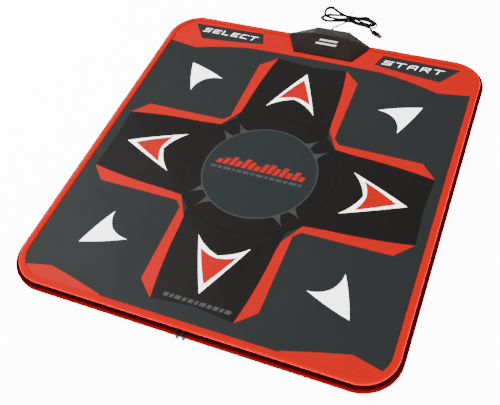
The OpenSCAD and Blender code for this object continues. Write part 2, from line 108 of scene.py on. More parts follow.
class Value:
    """A number that varies over a surface. Arithmetic on it adds Math nodes."""

    def __init__(self, tree, socket):
        self.tree = tree
        self.socket = socket

    def _math(self, operation, first, second):
        node = self.tree.nodes.new("ShaderNodeMath")
        node.operation = operation
        for slot, item in zip(node.inputs, (first, second)):
            if isinstance(item, Value):
                self.tree.links.new(item.socket, slot)
            else:
                slot.default_value = item
        return Value(self.tree, node.outputs[0])

    def __add__(self, other): return self._math("ADD", self, other)
    def __radd__(self, other): return self._math("ADD", other, self)
    def __sub__(self, other): return self._math("SUBTRACT", self, other)
    def __rsub__(self, other): return self._math("SUBTRACT", other, self)
    def __mul__(self, other): return self._math("MULTIPLY", self, other)
    def above(self, other): return self._math("GREATER_THAN", self, other)
    def low_of(self, other): return self._math("MINIMUM", self, other)
    def high_of(self, other): return self._math("MAXIMUM", self, other)


def linear(colour):
    """A display colour, 0 to 255, as scene-linear red, green, blue and alpha."""
    out = [(c / 255 / 12.92 if c / 255 <= 0.04045 else ((c / 255 + 0.055) / 1.055) ** 2.4)
           for c in colour]
    return (*out, 1.0)


class Finish:
    """One finish of the mat, built as shader nodes."""

    def __init__(self, name):
        self.material = bpy.data.materials.new(name)
        self.material.use_nodes = True
        self.tree = self.material.node_tree
        self.tree.nodes.clear()
        self.shader = self.node("BsdfPrincipled")
        end = self.node("OutputMaterial")
        self.tree.links.new(self.shader.outputs[0], end.inputs["Surface"])
        self.place = self.node("TexCoord").outputs["Object"]

    def node(self, kind, settings=None, sockets=None):
        made = self.tree.nodes.new("ShaderNode" + kind)
        for key, value in (settings or {}).items():
            if key == "stops":
                ramp = made.color_ramp
                while len(ramp.elements) < len(value):
                    ramp.elements.new(0.5)
                for element, (at, colour) in zip(ramp.elements, value):
                    element.position = at
                    element.color = colour
            else:
                setattr(made, key, value)
        for key, value in (sockets or {}).items():
            if isinstance(value, Value):
                self.tree.links.new(value.socket, made.inputs[key])
            elif isinstance(value, bpy.types.NodeSocket):
                self.tree.links.new(value, made.inputs[key])
            else:
                made.inputs[key].default_value = value
        return made

    def value(self, socket):
        return Value(self.tree, socket)

    def noise(self, scale, detail=2.0, rough=0.5, place=None):
        made = self.node("TexNoise", None, {
            "Vector": place or self.place, "Scale": scale, "Detail": detail, "Roughness": rough})
        return self.value(made.outputs["Fac"])

    def cells(self, scale, random_part=1.0):
        made = self.node("TexVoronoi", {"feature": "F1"}, {
            "Vector": self.place, "Scale": scale, "Randomness": random_part})
        return self.value(made.outputs["Distance"])

    def waves(self, scale, direction):
        made = self.node("TexWave", {"bands_direction": direction}, {
            "Vector": self.place, "Scale": scale, "Distortion": 0.0, "Detail": 1.0})
        return self.value(made.outputs["Fac"])

    def stretched(self, x, y, z):
        made = self.node("Mapping", None, {"Vector": self.place, "Scale": (x, y, z)})
        return made.outputs["Vector"]

    def mix(self, amount, first, second):
        made = self.node("Mix", {"data_type": "RGBA"})
        for slot, item in ((0, amount), (6, first), (7, second)):
            if isinstance(item, Value):
                self.tree.links.new(item.socket, made.inputs[slot])
            elif isinstance(item, bpy.types.NodeSocket):
                self.tree.links.new(item, made.inputs[slot])
            else:
                made.inputs[slot].default_value = item
        return made.outputs[2]

    def colour(self, socket):
        self.tree.links.new(socket, self.shader.inputs["Base Color"])

    def feed(self, name, value):
        self.tree.links.new(value.socket, self.shader.inputs[name])

    def bump(self, height, strength, distance):
        made = self.node("Bump", None, {
            "Height": height, "Strength": strength, "Distance": distance})
        self.tree.links.new(made.outputs["Normal"], self.shader.inputs["Normal"])

    def fixed(self, **sockets):
        for key, value in sockets.items():
            self.shader.inputs[key.replace("_", " ")].default_value = value


def shade_of(colour, factor):
    return tuple(min(255, c * factor) for c in colour)


def vinyl(name, colour, roughness=0.55, grain=1.0, shine=0.1, glow=0.0):
    """Calendered vinyl: a fine pebbled grain, soft handling creases and a faint mottle; glow adds painted
    light as emission.
    """
    f = Finish(name)
    mottle = f.noise(7.0, 3.0)
    speck = f.noise(420.0, 2.0)
    pebble = f.cells(900.0)
    crease = f.noise(26.0, 3.0, 0.45, f.stretched(1.0, 0.45, 1.0))
    worn = f.mix(mottle * 0.55, linear(colour), linear(shade_of(colour, 0.90)))
    f.colour(f.mix((speck - 0.45) * 0.35 + (pebble * 0.12), worn, linear(shade_of(colour, 1.12))))
    f.feed("Roughness", roughness + (mottle - 0.5) * 0.10 + (pebble - 0.4) * 0.06)
    f.bump(pebble * (0.22 * grain) + speck * (0.10 * grain) + crease * 1.4, 0.55, 0.0006)
    f.fixed(Specular_IOR_Level=shine, Emission_Color=(1, 1, 1, 1), Emission_Strength=glow)
    return f.material


def moulded(name, colour, roughness=0.5, spark=1.0, shine=0.5):
    """Injection-moulded plastic with a spark-eroded surface and slightly rubbed patches."""
    f = Finish(name)
    spots = f.noise(1500.0, 3.0, 0.6)
    cloud = f.noise(24.0, 2.0)
    f.colour(f.mix(cloud * 0.6 + spots * 0.2, linear(shade_of(colour, 0.88)), linear(shade_of(colour, 1.14))))
    f.feed("Roughness", roughness + (cloud - 0.5) * 0.14 + (spots - 0.5) * 0.10)
    f.bump(spots * spark + cloud * 0.4, 0.4, 0.00012)
    f.fixed(Specular_IOR_Level=shine)
    return f.material


def woven(name, colour, pitch=1400.0, roughness=0.85):
    """Plain-weave tape or cloth."""
    f = Finish(name)
    warp = f.waves(pitch, "X")
    weft = f.waves(pitch, "Y")
    fuzz = f.noise(900.0, 2.0)
    weave = warp.high_of(weft)
    f.colour(f.mix(weave * 0.7 + fuzz * 0.2, linear(shade_of(colour, 0.62)), linear(shade_of(colour, 1.15))))
    f.feed("Roughness", roughness + (fuzz - 0.5) * 0.12)
    f.bump(weave + fuzz * 0.3, 0.6, 0.00025)
    f.fixed(Specular_IOR_Level=0.25)
    return f.material


def metal(name, colour, roughness=0.3, scratch=1.0):
    """Plated or enamelled metal with fine handling scratches."""
    f = Finish(name)
    brushed = f.noise(260.0, 3.0, 0.6, f.stretched(1.0, 9.0, 9.0))
    cloud = f.noise(60.0, 2.0)
    f.colour(f.mix(brushed * 0.7, linear(shade_of(colour, 0.82)), linear(shade_of(colour, 1.12))))
    f.feed("Roughness", roughness + (brushed - 0.5) * 0.25 + (cloud - 0.5) * 0.12)
    f.feed("Metallic", 0.94 + (cloud - 0.5) * 0.1)
    f.bump(brushed * scratch, 0.3, 0.00008)
    return f.material


def cellular(name, colour, size=520.0, roughness=0.92):
    """Open or closed-cell foam with its pores."""
    f = Finish(name)
    pores = f.cells(size)
    small = f.cells(size * 2.3)
    cloud = f.noise(16.0, 2.0)
    f.colour(f.mix(pores * 0.8 + cloud * 0.25,
                   linear(shade_of(colour, 0.72)), linear(shade_of(colour, 1.05))))
    f.feed("Roughness", roughness + (cloud - 0.5) * 0.08)
    f.bump(pores + small * 0.5, 0.7, 0.0006)
    return f.material


def dotted_cloth(name, colour):
    """Non-slip underside: woven cloth with raised rubber dots."""
    f = Finish(name)
    weave = f.waves(900.0, "X").high_of(f.waves(900.0, "Y"))
    dots = f.cells(125.0, 0.0)
    dot = 1.0 - (dots * 2.6).low_of(1.0)
    f.colour(f.mix(dot.above(0.15) * 0.8 + weave * 0.1, linear(colour), linear(shade_of(colour, 0.5))))
    f.feed("Roughness", 0.9 - dot.above(0.15) * 0.35)
    f.bump(weave * 0.25 + dot.low_of(0.4) * 2.0, 0.7, 0.0008)
    return f.material


RED = (196, 2, 0)
finish = {
    "charcoal": vinyl("printed_charcoal", (37, 40, 40), 0.55),
    "black": vinyl("printed_black", (21, 19, 18), 0.52),
    "disc": vinyl("printed_slate", (36, 41, 43), 0.54),
    "ring": vinyl("printed_ring_grey", (60, 62, 61), 0.48),
    "shadow_ring": vinyl("printed_soot", (13, 12, 11), 0.46),
    "red": vinyl("printed_red", RED, 0.54),
    # painted glow: the white ink is given emission so it shows brighter than its lighting makes it
    "white": vinyl("printed_white_painted_glow", (247, 247, 246), 0.5, glow=2.6),
    "faint": vinyl("printed_ash", (70, 72, 72), 0.5),
    "rim": vinyl("binding_red", (204, 1, 0), 0.55, 0.6, 0.02),
    # painted shade: the side wall's red is darkened to stand for the shade the wall stands in
    "band": vinyl("wall_red_painted_shade", (80, 0, 0), 0.6, 0.8, 0.0),
    # painted shade: the band under the binding's overhang is made darker still, standing for the shade in
    # that recess
    "recess_shade": vinyl("recess_red_painted_shade", (54, 1, 1), 0.6, 0.8, 0.0),
    "underside": dotted_cloth("underside_cloth", (60, 60, 62)),
    "foam": cellular("core_foam", (232, 231, 224)),
    "sponge": cellular("spacer_sponge", (96, 96, 99), 900.0),
    "film": moulded("clear_film", (214, 214, 206), 0.3, 0.3),
    "ink": moulded("carbon_ink", (38, 38, 40), 0.6),
    "tape": woven("zip_tape", (44, 2, 2)),
    "teeth": moulded("zip_coil", (30, 3, 3), 0.5, 0.4, 0.05),
    "slider": metal("zip_enamel", (26, 25, 25), 0.45),
    "pull": moulded("pull_rubber", (10, 10, 10), 0.55, 0.6, 0.08),
    "bead": metal("bead_nickel", (96, 94, 92), 0.14),
    "box": moulded("box_plastic", (41, 36, 34), 0.6, 1.2, 0.01),
    "box_mark": moulded("box_print", (240, 240, 238), 0.5, 0.3),
    "board": moulded("board_resist", (22, 92, 52), 0.3, 0.2),
    "chip": moulded("chip_resin", (30, 30, 32), 0.5),
    "connector": moulded("connector_nylon", (228, 222, 205), 0.45),
    "screw": metal("screw_zinc", (190, 190, 188), 0.35),
    "cord": moulded("cord_sheath", (8, 7, 7), 0.55, 0.15, 0.02),
    "tie": moulded("tie_film", (70, 70, 68), 0.4, 0.2, 0.2),
    "plug": moulded("plug_overmould", (14, 9, 8), 0.55, 0.5, 0.02),
    "shell": metal("plug_nickel", (64, 50, 44), 0.3),
}


# ---- mesh helpers ------------------------------------------------------------

def piece(name, points, faces, material, smooth=True, indices=None, extra=()):
    """A mesh piece from points and faces, in the shared frame."""
    mesh = bpy.data.meshes.new(name)
    mesh.from_pydata([tuple(p) for p in points], [], [tuple(f) for f in faces])
    for m in (material, *extra):
        mesh.materials.append(m)
    if indices is not None:
        mesh.polygons.foreach_set("material_index", list(indices))
    mesh.polygons.foreach_set("use_smooth", [smooth] * len(mesh.polygons))
    mesh.update()
    made = bpy.data.objects.new(name, mesh)
    bpy.context.collection.objects.link(made)
    return made


def modify(item, kind, **settings):
    added = item.modifiers.new(kind.lower(), kind)
    for key, value in settings.items():
        setattr(added, key, value)
    return added


def smooth_line(points, step):
    """Evenly spaced points on a smooth curve through the given ones."""
    p = [Vector(q) for q in points]
    p = [p[0] * 2 - p[1], *p, p[-1] * 2 - p[-2]]
    dense = []
    for a, b, c, d in zip(p, p[1:], p[2:], p[3:]):
        pieces = max(2, int((c - b).length / (step * 0.25)))
        for i in range(pieces):
            t = i / pieces
            dense.append(0.5 * (2 * b + (c - a) * t + (2 * a - 5 * b + 4 * c - d) * t * t
                                + (3 * b - 3 * c + d - a) * t ** 3))
    dense.append(p[-2])
    out = [dense[0]]
    travelled = 0.0
    for a, b in zip(dense, dense[1:]):
        travelled += (b - a).length
        if travelled >= step:
            out.append(b)
            travelled = 0.0
    if (out[-1] - dense[-1]).length > step * 0.3:
        out.append(dense[-1])
    return out


def length_of(points):
    return sum((b - a).length for a, b in zip(points, points[1:]))


def round_curve(name, points, radius, material, closed=False):
    """A round bar along a line of points."""
    shape = bpy.data.curves.new(name, "CURVE")
    shape.dimensions = "3D"
    shape.bevel_depth = radius
    shape.bevel_resolution = 5
    shape.use_fill_caps = True
    line = shape.splines.new("POLY")
    line.points.add(len(points) - 1)
    for spot, p in zip(line.points, points):
        spot.co = (*p, 1.0)
    line.use_cyclic_u = closed
    shape.materials.append(material)
    made = bpy.data.objects.new(name, shape)
    bpy.context.collection.objects.link(made)
    return made


# ---- lead: strain relief, cord, hank and plug --------------------------------

CORD_D = 4.2 * MM
PINCH = Vector((31, 572, 0))


def hank_line():
    """The cord's centre line from the strain relief through five turns to the plug."""
    start = [(2, 511.9, 10), (2.0, 516.5, 9.4), (2.8, 523, 6.9), (5.8, 532, 3.4), (12, 541, 2.3),
             (20, 550.5, 2.3), (27, 559, 3.2)]
    upper = [(8.8, 2.3), (8.6, 6.9), (4.4, 2.4), (4.3, 7.0), (0.1, 9.3)]
    lower = [(-8.9, 2.3), (-8.6, 6.8), (-4.4, 2.3), (-4.3, 6.9), (0.0, 2.4), (-0.4, 5.6)]
    points = list(start)
    for turn in range(5):
        uy, uz = upper[turn]
        ly, lz = lower[turn]
        ny, nz = lower[turn + 1]
        # right-hand end, from the lower strand round to the upper one
        reach = (0, -3.5, -9, -14, -5)[turn]
        wide = (0, -3.6, -8, -1.8, -11)[turn]
        lift = (0, 4.2, 0.6, 8.0, 4.6)[turn]
        points += [(PINCH.x + 8, PINCH.y + ly * 0.96, lz),
                   (58, 565 + ly * 0.9, lz),
                   (80, 556.5 - wide * 0.55 + ly * 0.15, 2.3 + lift),
                   (97 + reach * 0.7, 550.5 - wide * 0.8, 2.3 + lift),
                   (109 + reach, 556.5 - wide * 0.4, 2.6 + lift),
                   (111 + reach, 568 + wide * 0.2, 3.0 + lift),
                   (102 + reach, 580 + wide * 0.8, 3.0 + lift),
                   (84 + reach * 0.5, 585.5 + wide, 2.6 + lift),
                   (60, 580 + uy * 0.3 + wide * 0.3, (2.4 + lift + uz) / 2),
                   (PINCH.x + 9, PINCH.y + uy + 0.8, uz)]
        # left-hand end, from the upper strand round to the next lower one
        if turn in (0, 2, 4):
            far = (0, 0, 4.0, 0, 2.2)[turn]
            high = (1.5, 0, 2.5, 0, 6.4)[turn]
            points += [(12, 580.5 + uy * 0.8, uz + 1.2),
                       (-8, 592.5 - far * 0.9, 7 + high),
                       (-24, 601.5 - far, 8 + high),
                       (-36, 599.5 - far * 0.8, 7 + high),
                       (-43 + far * 0.8, 589.5 - far * 0.3, 5 + high),
                       (-42 + far * 0.7, 578, 3 + high * 0.8),
                       (-34 + far * 0.4, 568.5 + far * 0.4, 2.6 + high * 0.5),
                       (-14, 563.5 + far * 0.6 + ny * 0.1, 2.4 + nz * 0.4),
                       (10, 566 + ny * 0.75, nz)]
        else:
            flat = (0, 0, 0, 4.3)[turn]
            points += [(12, 575.5 + uy * 0.5, uz + 0.8),
                       (-10, 578.5 - flat, 6.6),
                       (-28, 576.5 - flat, 5.4),
                       (-41 + flat, 571 - flat * 0.6, 3.6),
                       (-46.5 + flat, 562.5, 2.4),
                       (-41 + flat, 554 + flat * 0.8, 2.3),
                       (-26, 550 + flat, 2.3),
                       (-6, 554 + flat * 0.9 + ny * 0.1, 2.3 + nz * 0.3),
                       (14, 563.5 + ny * 0.85, nz)]
    points += [(PINCH.x + 8, PINCH.y - 2.5, 11.0), (56, 565, 11.4), (76, 558, 11.2),
               (90, 552.5, 8.6), (98, 547.2, 5.6), (102.6, 542.2, 4.4), (106.2, 537.6, 4.2)]
    return smooth_line([Vector(p) * MM for p in points], 2.2 * MM)


def lead():
    line = hank_line()
    cord = round_curve("lead_cord", line, CORD_D / 2, finish["cord"])
    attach(cord, "mat")
    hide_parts("usb_cord", "cord_hank")
    plug = plug_overmould()
    shell = plug_shell()
    ties = twist_tie()
    print("cord length", round(length_of(line), 3))
    round(length_of(line), 2)


def turned_plate(name, rows, material, at, turn, smooth=True):
    """A lofted piece: each row is (distance along, half width, half height, roundness)."""
    points, faces = [], []
    around = 32
    spin = Matrix.Rotation(math.radians(turn), 4, "Z")
    for along, half_w, half_h, power in rows:
        for i in range(around):
            a = 2 * math.pi * i / around
            c, s = math.cos(a), math.sin(a)
            e = 2 / power
            y = half_w * math.copysign(abs(c) ** e, c)
            z = half_h * math.copysign(abs(s) ** e, s)
            points.append(spin @ Vector((along * MM, y * MM, z * MM)) + at)
    for r in range(len(rows) - 1):
        for i in range(around):
            j = (i + 1) % around
            faces.append((r * around + i, r * around + j, (r + 1) * around + j, (r + 1) * around + i))
    faces.append(tuple(range(around - 1, -1, -1)))
    faces.append(tuple((len(rows) - 1) * around + i for i in range(around)))
    return piece(name, points, faces, material, smooth)


PLUG_AT = Vector((107, 536.5, 4.2)) * MM
PLUG_TURN = -32


def plug_overmould():
    """Moulded grip: a ribbed flexible neck, then a flat body with soft corners."""
    rows = [(-9, 2.2, 2.2, 2), (-9, 2.6, 2.6, 2), (-8, 2.7, 2.7, 2)]
    for k in range(4):
        x = -7.6 + k * 1.9
        rows += [(x, 2.5, 2.5, 2), (x + 0.2, 3.0, 2.9, 2), (x + 1.1, 3.1, 3.0, 2.1), (x + 1.3, 2.6, 2.6, 2)]
    rows += [(0.0, 3.6, 3.0, 2.4), (1.2, 5.6, 3.7, 4), (3, 6.3, 3.95, 6), (6, 6.5, 4.0, 7), (9, 6.2, 3.9, 7),
             (12, 6.1, 3.85, 7), (18, 6.5, 4.0, 7), (21.2, 6.5, 4.0, 7), (22.2, 6.2, 3.7, 6),
             (22.4, 4.5, 2.4, 5)]
    made = turned_plate("plug_grip", rows, finish["plug"], PLUG_AT, PLUG_TURN)
    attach(made, "mat")
    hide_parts("usb_plug_body")
    return made


def plug_shell():
    rows = [(21.5, 6.0, 2.25, 9), (33.6, 6.0, 2.25, 9), (34.1, 5.85, 2.1, 9),
            (34.1, 5.55, 1.85, 9), (30, 5.55, 1.85, 9)]
    made = turned_plate("plug_shell", rows, finish["shell"], PLUG_AT, PLUG_TURN, smooth=False)
    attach(made, "mat")
    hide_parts("usb_plug_shell")
    return made


def twist_tie():
    """Coated wire wound round the hank's waist, its two ends twisted together and standing up."""
    ring = []
    for i in range(48):
        a = 2 * math.pi * i / 48
        ring.append(Vector((PINCH.x + 1.5 + 1.0 * math.sin(2 * a), PINCH.y + 14.2 * math.cos(a),
                            7.6 + 7.0 * math.sin(a))) * MM)
    loop = round_curve("tie_loop", ring, 0.55 * MM, finish["tie"], closed=True)
    made = [loop]
    for phase, lean in ((0.0, 1.0), (math.pi, -1.0)):
        tail = []
        for i in range(40):
            t = i / 39
            turn = phase + t * 5 * math.pi
            spread = 0.75 + max(0.0, t - 0.7) * 14
            tail.append(Vector((PINCH.x + 2.5 + 5 * t + spread * math.cos(turn) * (1 if t < 0.7 else lean),
                                PINCH.y + 9.0 + 6.5 * t + spread * 0.5 * math.sin(turn),
                                13.2 + 9 * t)) * MM)
        made.append(round_curve("tie_end_%d" % (1 if phase == 0 else 2), tail, 0.5 * MM, finish["tie"]))
    for m in made:
        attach(m, "mat")
    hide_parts("hank_tie")
    return made


lead()


# ---- the printed top ---------------------------------------------------------

def mirrored(polygon, x=1, y=1):
    return [(p * x, q * y) for p, q in polygon]


def curve_points(a, b, sag, count=8):
    """Points after a on a shallow arc from a to b that leaves the chord by sag."""
    ax, ay = a
    bx, by = b
    dx, dy = bx - ax, by - ay
    size = math.hypot(dx, dy)
    nx, ny = -dy / size, dx / size
    out = []
    for i in range(1, count + 1):
        t = i / count
        push = 4 * t * (1 - t) * sag
        out.append((ax + dx * t + nx * push, ay + dy * t + ny * push))
    return out


def on_field(polygon):
    """Millimetres from the middle of the arrow field to the shared frame, in metres."""
    return [(x * MM, y * MM + FIELD_Y) for x, y in polygon]


def on_mat(polygon):
    """Millimetres from the middle of the mat to the shared frame, in metres."""
    return [(x * MM, y * MM + MAT_Y) for x, y in polygon]


def arc(radius, start, end, count, cx=0.0, cy=0.0):
    return [(cx + radius * math.cos(math.radians(start + (end - start) * i / count)),
             cy + radius * math.sin(math.radians(start + (end - start) * i / count)))
            for i in range(count + 1)]


def thick_line(points, width):
    """A polygon round an open line, with mitred corners."""
    def side(sign):
        out = []
        for i, p in enumerate(points):
            p = Vector(p)
            before = (p - Vector(points[i - 1])).normalized() if i else None
            after = (Vector(points[i + 1]) - p).normalized() if i < len(points) - 1 else None
            if before is None or after is None:
                d = after if before is None else before
                out.append(tuple(p + Vector((-d.y, d.x)) * sign * width / 2))
            else:
                n1, n2 = Vector((-before.y, before.x)), Vector((-after.y, after.x))
                m = (n1 + n2).normalized()
                out.append(tuple(p + m * sign * width / 2 / max(0.35, m.dot(n1))))
        return out
    return side(1) + side(-1)[::-1]


ARM_SIDE = [(117, 146), (114.5, 172), (112, 200)] + curve_points((112, 200), (93, 385), -3.5, 8)
STRIP_CELL = [(93, 385), (132.5, 348), (134, 149.5), (149.5, 134), (348, 132.5), (385, 93)]


def cross_outline():
    """The black cross: four arms with shallow notches in their ends."""
    quarter = ARM_SIDE[::-1] + [(q, p) for p, q in ARM_SIDE]
    out = []
    out += [(0, 375)] + quarter + [(380, 0)]
    out += [(x, -y) for x, y in quarter[::-1]] + [(0, -375)]
    out += [(-x, -y) for x, y in quarter] + [(-380, 0)]
    out += [(-x, y) for x, y in quarter[::-1]]
    return out


def strip_outline():
    return STRIP_CELL + [(q, p) for p, q in ARM_SIDE[::-1]] + ARM_SIDE[1:-1]


def spike(tip, low_angle, high_angle):
    """A thorn on the ring with concave sides."""
    radius = 134.5
    base_low = arc(radius, low_angle, low_angle, 1)[0]
    base_high = arc(radius, high_angle, high_angle, 1)[0]
    return [base_low] + curve_points(base_low, tip, 2.2, 5) + curve_points(tip, base_high, 2.2, 5)


def arrow_head(tip, wing_x, wing_y, apex, belly):
    right = (wing_x, wing_y)
    left = (-wing_x, wing_y)
    return ([(0, tip)] + curve_points((0, tip), right, 1.2, 5) + curve_points(right, (0, apex), -belly, 6)
            + curve_points((0, apex), left, -belly, 6) + curve_points(left, (0, tip), 1.2, 5)[:-1])


def corner_arrow():
    tip, wing_a, wing_b, apex = (307, 307), (269, 207), (207, 269), (252, 252)
    return ([tip] + curve_points(tip, wing_a, 2.5, 5) + curve_points(wing_a, apex, -4.5, 6)
            + curve_points(apex, wing_b, -4.5, 6) + curve_points(wing_b, tip, 2.5, 5)[:-1])


LETTERS = {
    "S": [[(10, 8.6), (1.5, 8.6), (1.5, 5), (8.5, 5), (8.5, 1.4), (0, 1.4)]],
    "E": [[(10, 8.6), (1.5, 8.6), (1.5, 1.4), (10, 1.4)], [(1.5, 5), (9, 5)]],
    "L": [[(1.5, 10), (1.5, 1.4), (9.6, 1.4)]],
    "C": [[(10, 8.6), (1.5, 8.6), (1.5, 1.4), (10, 1.4)]],
    "T": [[(0, 8.6), (10, 8.6)], [(5, 8.6), (5, 0)]],
    "A": [[(1.5, 0), (1.5, 6.4), (3.6, 8.6), (8.5, 8.6), (8.5, 0)], [(1.5, 3.8), (8.5, 3.8)]],
    "R": [[(1.5, 0), (1.5, 8.6), (8.5, 8.6), (8.5, 4.6), (1.5, 4.6)], [(5.2, 4.6), (9.0, 0)]],
}


def word(text, x0, x1, y0, y1, slant=0.32):
    """Plain slanted block capitals."""
    pitch = (x1 - x0) / len(text)
    wide = pitch * 0.82 / 10
    high = (y1 - y0) / 10
    out = []
    for i, letter in enumerate(text):
        for line in LETTERS[letter]:
            shape = thick_line(line, 1.0)
            out.append([(x0 + i * pitch + x * wide + slant * (y - 5) * high, y0 + y * high)
                        for x, y in shape])
    return out


def slanted_bar(x, width, low, high, slant=0.3):
    lean = slant * (high - low)
    return [(x, low), (x + width, low), (x + width + lean, high), (x + lean, high)]


def dashes(x0, x1, low, high, widths, gap, slant=0.3):
    out, x = [], x0
    for wide in cycle(widths):
        if x + wide > x1:
            return out
        out.append(slanted_bar(x, wide, low, high, slant))
        x += wide + gap


def print_layers():
    """(finish, polygon) from the lowest layer of ink to the highest, in the shared frame."""
    layers = []
    header = [(430, 353), (408, 349), (328, 336)] + curve_points((328, 336), (181, 372), -3.5, 8)
    header += [(90, 373.6), (0, 374)]
    header = header + [(-x, y) for x, y in header[::-1][1:]] + [(-430, 470), (430, 470)]
    layers.append(("red", on_mat(header)))
    for side, kink in ((1, -406), (-1, -412.5)):
        wedge = [(194, -450), (201, -443)] + curve_points((201, -443), (334, kink), 1.0, 7)
        wedge += [(391, kink - 13.5), (430, -436), (430, -470), (194, -470)]
        layers.append(("red", on_mat(mirrored(wedge, x=side))))
    plate = [(168, 437), (366, 432), (326, 376.5)] + curve_points((326, 376.5), (153, 396.5), 2.0, 7)
    layers.append(("charcoal", on_mat(plate)))
    layers.append(("charcoal", on_mat(mirrored(plate, x=-1))))
    layers.append(("black", on_field(cross_outline())))
    strip = strip_outline()
    for sx in (1, -1):
        for sy in (1, -1):
            layers.append(("red", on_field(mirrored(strip, sx, sy))))
    for start in (0, 90, 180, 270):
        ring = arc(179.5, start - 37, start + 37, 20) + arc(177, start + 37, start - 37, 20)
        layers.append(("shadow_ring", on_field(ring)))
    for tip, a, b in (((135, 104.5), 32.5, 41.5), ((104.5, 135), 48.5, 57.5)):
        for sx in (1, -1):
            for sy in (1, -1):
                layers.append(("ring", on_field(mirrored(spike(tip, a, b), sx, sy))))
    layers.append(("ring", on_field(arc(136, 0, 360, 120)[:-1])))
    layers.append(("disc", on_field(arc(132.6, 0, 360, 120)[:-1])))
    outer = arrow_head(345, 61.5, 208, 247, 5.0)
    inner = arrow_head(322, 43, 238, 253.5, 3.0)
    for sign, swap in ((1, False), (-1, False), (1, True), (-1, True)):
        for kind, shape in (("white", outer), ("red", inner)):
            turned = [(x, y * sign) for x, y in shape]
            if swap:
                turned = [(y, x) for x, y in turned]
            layers.append((kind, on_field(turned)))
    for sx in (1, -1):
        for sy in (1, -1):
            layers.append(("white", on_field(mirrored(corner_arrow(), sx, sy))))
    # a row of level bars and a dashed line in the disc
    heights = (13, 20, 27, 18, 29, 23, 15, 26, 29, 21, 28, 17, 24, 14)
    for i, h in enumerate(heights):
        layers.append(("red", on_field(slanted_bar(-110 + i * 15.6, 11.4, 0, h, 0.3))))
    for bar in dashes(-118, 116, -15.5, -8, (14, 9, 18, 7, 12), 4.2):
        layers.append(("faint", on_field(bar)))
    for bar in dashes(-72, 79, -370.5, -361.5, (11, 7, 13, 9), 4.0):
        layers.append(("faint", on_field(bar)))
    for letters in (word("START", 172, 334, 402, 421), word("SELECT", -334, -172, 402, 421)):
        for shape in letters:
            layers.append(("white", on_mat(shape)))
    return layers


def inside(polygon, x, y):
    """Which of the points lie in the polygon."""
    poly = np.array(polygon)
    hit = np.zeros(len(x), bool)
    lo, hi = poly.min(0), poly.max(0)
    near = (x >= lo[0]) & (x <= hi[0]) & (y >= lo[1]) & (y <= hi[1])
    xs, ys = x[near], y[near]
    got = np.zeros(len(xs), bool)
    for (x1, y1), (x2, y2) in zip(poly, np.roll(poly, -1, 0)):
        if y1 == y2:
            continue
        crosses = (ys >= min(y1, y2)) & (ys < max(y1, y2))
        got ^= crosses & (xs < x1 + (ys - y1) * (x2 - x1) / (y2 - y1))
    hit[near] = got
    return hit


def distance_to(polygon, x, y):
    best = np.full(len(x), 1e9)
    for (x1, y1), (x2, y2) in zip(polygon, polygon[1:] + polygon[:1]):
        dx, dy = x2 - x1, y2 - y1
        t = np.clip(((x - x1) * dx + (y - y1) * dy) / max(dx * dx + dy * dy, 1e-12), 0, 1)
        best = np.minimum(best, np.hypot(x - x1 - t * dx, y - y1 - t * dy))
    return best


def rounded_outline(inset, pieces=16, step=None):
    """The mat's outline, inset, anticlockwise, as (x, y) in metres."""
    r = CORNER - inset
    w, l = MAT_X - CORNER, MAT_L / 2 - CORNER
    out = []
    for cx, cy, a in ((w, l, 0), (-w, l, 90), (-w, -l, 180), (w, -l, 270)):
        out += arc(r, a, a + 90, pieces, cx, cy + MAT_Y)
        if step:
            x0, y0 = out[-1]
            nx, ny = {0: (-w, y0), 90: (x0, MAT_Y - l), 180: (w, y0), 270: (x0, MAT_Y + l)}[a]
            parts = max(1, round(math.hypot(nx - x0, ny - y0) / step))
            out += [(x0 + (nx - x0) * i / parts, y0 + (ny - y0) * i / parts) for i in range(1, parts)]
    return out


def top_outline(node):
    """The plan outline of a flat-topped CAD node, from the edges round its upper face."""
    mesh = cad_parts[node].data
    high = max(v.co.z for v in mesh.vertices)
    edges = {}
    def key(i):
        c = mesh.vertices[i].co
        return (round(c.x, 6), round(c.y, 6))
    for face in mesh.polygons:
        if all(mesh.vertices[i].co.z > high - 1e-5 for i in face.vertices):
            ring = [key(i) for i in face.vertices]
            for a, b in zip(ring, ring[1:] + ring[:1]):
                if (b, a) in edges:
                    del edges[(b, a)]
                else:
                    edges[(a, b)] = True
    follow = dict(edges.keys())
    start = next(iter(follow))
    out, now = [start], follow[start]
    while now != start:
        out.append(now)
        now = follow[now]
    return out


ARROW_ZONES = ["up", "down", "left", "right", "up_left", "up_right", "down_left", "down_right"]
ZONES = ARROW_ZONES + ["select", "start"]
ARROW_CROWN = 2.4 * MM        # how high the padding stands in the middle of an arrow zone
PLATE_CROWN = 1.08 * MM       # and in the middle of the select and start plates
ARROW_REACH = 90 * MM         # how far in from a zone's edge that height is reached
PLATE_REACH = 18 * MM         # the same on a plate
SWELL_REACH = 20 * MM         # how far in from its edge a zone's swells stand in full
SKIN_T = 1.0 * MM             # thickness of the printed vinyl


def soft_step(t):
    t = np.clip(t, 0, 1)
    return t * t * (3 - 2 * t)


def undulation(x, y):
    """Slow swells of the padded top, zero round its border and the control box."""
    wave = (np.sin(x * 17 + 0.6) * np.cos(y * 13 - 0.4) * 0.32 + np.sin(x * 31 - y * 23 + 1.1) * 0.14
            + np.sin(x * 47 + y * 39) * 0.07) * MM
    border = rounded_outline(RIM_IN)
    edge = soft_step(distance_to(border, x, y) / (40 * MM))
    box_low, box_high = corners("box_shell")
    gap = np.hypot(np.maximum(0, np.maximum(box_low.x - x, x - box_high.x)),
                   np.maximum(0, np.maximum(box_low.y - y, y - box_high.y)))
    return wave * edge * soft_step(gap / (60 * MM))


